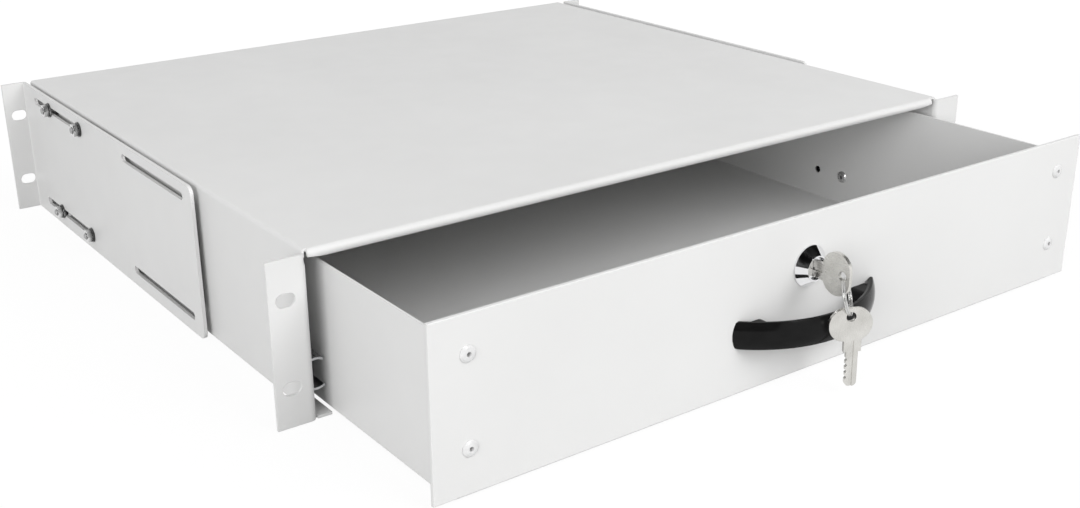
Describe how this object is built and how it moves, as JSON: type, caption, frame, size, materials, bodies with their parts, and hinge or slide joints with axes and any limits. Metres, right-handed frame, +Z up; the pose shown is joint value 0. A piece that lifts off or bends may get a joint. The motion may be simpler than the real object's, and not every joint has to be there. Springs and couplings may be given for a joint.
{
  "type": "sliding rack drawer",
  "caption": "Lockable steel drawer on ball-bearing slides in a low case with front rack ears and slotted rear brackets, bow handle, cam lock and a ring of keys.",
  "frame": {"origin": "centre of the four front rack slots, on the front face of the front ears", "axes": "+X to the right seen from the front, +Y from the front to the back, +Z up"},
  "size_m": [0.4826, 0.534, 0.0865],
  "materials": {
    "powder_coat": "fine-textured light grey powder coat",
    "zinc_plate": "bright zinc plate",
    "ball_steel": "polished",
    "black_handle": "glossy black",
    "chrome": "polished chrome plate",
    "key_metal": "nickel-plated, satin"
  },
  "bodies": {
    "case": {"case": "powder_coat", "left_case_rail": "zinc_plate", "right_case_rail": "zinc_plate", "case_rail_rivets": "zinc_plate", "bracket_screws": "zinc_plate", "bracket_spacer_nuts": "zinc_plate", "bracket_flange_nuts": "zinc_plate"},
    "left_bracket": {"left_rear_bracket": "powder_coat"},
    "right_bracket": {"right_rear_bracket": "powder_coat"},
    "drawer": {"tray": "powder_coat", "front_panel": "powder_coat", "panel_rivets": "zinc_plate", "left_drawer_rail": "zinc_plate", "right_drawer_rail": "zinc_plate", "drawer_rail_rivets": "zinc_plate", "handle": "black_handle", "handle_screws": "zinc_plate", "lock_housing": "chrome", "lock_nut": "zinc_plate"},
    "left_cage": {"left_ball_cage": "zinc_plate", "left_slide_balls": "ball_steel"},
    "right_cage": {"right_ball_cage": "zinc_plate", "right_slide_balls": "ball_steel"},
    "plug": {"lock_plug": "chrome", "lock_cam": "zinc_plate", "cam_screw": "zinc_plate", "lock_key": "key_metal"},
    "ring": {"key_ring": "key_metal"},
    "hanging_key": {"spare_key": "key_metal"}
  },
  "joints": [
    {"name": "drawer_slide", "type": "slide", "parent": "case", "child": "drawer", "axis": [0, -1, 0], "range_m": [-0.1, 0.15]},
    {"name": "left_cage_slide", "type": "slide", "parent": "case", "child": "left_cage", "axis": [0, -1, 0], "range_m": [-0.05, 0.075]},
    {"name": "right_cage_slide", "type": "slide", "parent": "case", "child": "right_cage", "axis": [0, -1, 0], "range_m": [-0.05, 0.075]},
    {"name": "left_bracket_slide", "type": "slide", "parent": "case", "child": "left_bracket", "axis": [0, -1, 0], "range_m": [0, 0.0245]},
    {"name": "right_bracket_slide", "type": "slide", "parent": "case", "child": "right_bracket", "axis": [0, -1, 0], "range_m": [0, 0.0245]},
    {"name": "lock_turn", "type": "hinge", "parent": "drawer", "child": "plug", "pos_m": [0, -0.1023, 0.016], "axis": [0, 1, 0], "range_deg": [0, 90]},
    {"name": "key_ring_swing", "type": "hinge", "parent": "plug", "child": "ring", "pos_m": [0, -0.1247, 0.0174], "axis": [-1, 0, 0], "range_deg": [0, 60]},
    {"name": "spare_key_swing", "type": "hinge", "parent": "ring", "child": "hanging_key", "pos_m": [0, -0.13092, -0.00119], "axis": [0.454, 0.891, 0], "range_deg": [-36, 24]}
  ],
  "couplings": [
    {"joint": "left_cage_slide", "follows": "drawer_slide", "ratio": 0.5},
    {"joint": "right_cage_slide", "follows": "drawer_slide", "ratio": 0.5}
  ]
}
